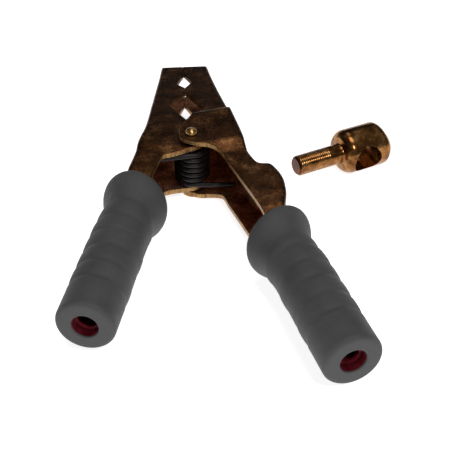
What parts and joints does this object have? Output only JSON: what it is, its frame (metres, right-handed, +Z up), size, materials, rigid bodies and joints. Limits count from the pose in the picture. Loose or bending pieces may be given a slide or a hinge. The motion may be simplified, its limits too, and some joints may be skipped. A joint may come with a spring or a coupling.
{
  "type": "welding ground clamp",
  "caption": "Spring-closed welding ground clamp of folded chromated sheet with notched jaws, ringed grey grips and a loose threaded cable stud.",
  "frame": {"origin": "centre of the rivet's flat lower head, on the plane the clamp lies on; the hinge axis runs up through it", "axes": "+Z up along the hinge axis, +Y from the handles towards the jaw tip, +X towards the outer arm and the loose stud"},
  "size_m": [0.1892, 0.2541, 0.0436],
  "materials": {
    "arm_chromate": "dark brown-gold chromate on folded sheet steel",
    "rivet_gold": "bright gold chromate",
    "spring_black": "black oiled spring wire",
    "grip_grey": "matt dark grey moulded",
    "liner_red": "dark red sleeve",
    "stud_chromate": "brown-gold chromate, turned"
  },
  "bodies": {
    "outer_half": {"right_arm": "arm_chromate", "pivot_rivet": "rivet_gold", "torsion_spring": "spring_black", "right_grip": "grip_grey", "right_grip_liner": "liner_red"},
    "inner_half": {"left_arm": "arm_chromate", "left_grip": "grip_grey", "left_grip_liner": "liner_red"},
    "loose_stud": {"cable_stud": "stud_chromate"}
  },
  "joints": [
    {"name": "jaw_hinge", "type": "hinge", "parent": "outer_half", "child": "inner_half", "pos_m": [0, 0, 0.021], "axis": [0, 0, 1], "range_deg": [0, 33], "stiffness_Nm_per_rad": 6, "springref_deg": -34.38, "deforming": ["torsion_spring"]},
    {"name": "stud_lift", "type": "slide", "parent": "outer_half", "child": "loose_stud", "axis": [0, 0, 1], "range_m": [0, 0.08]}
  ]
}
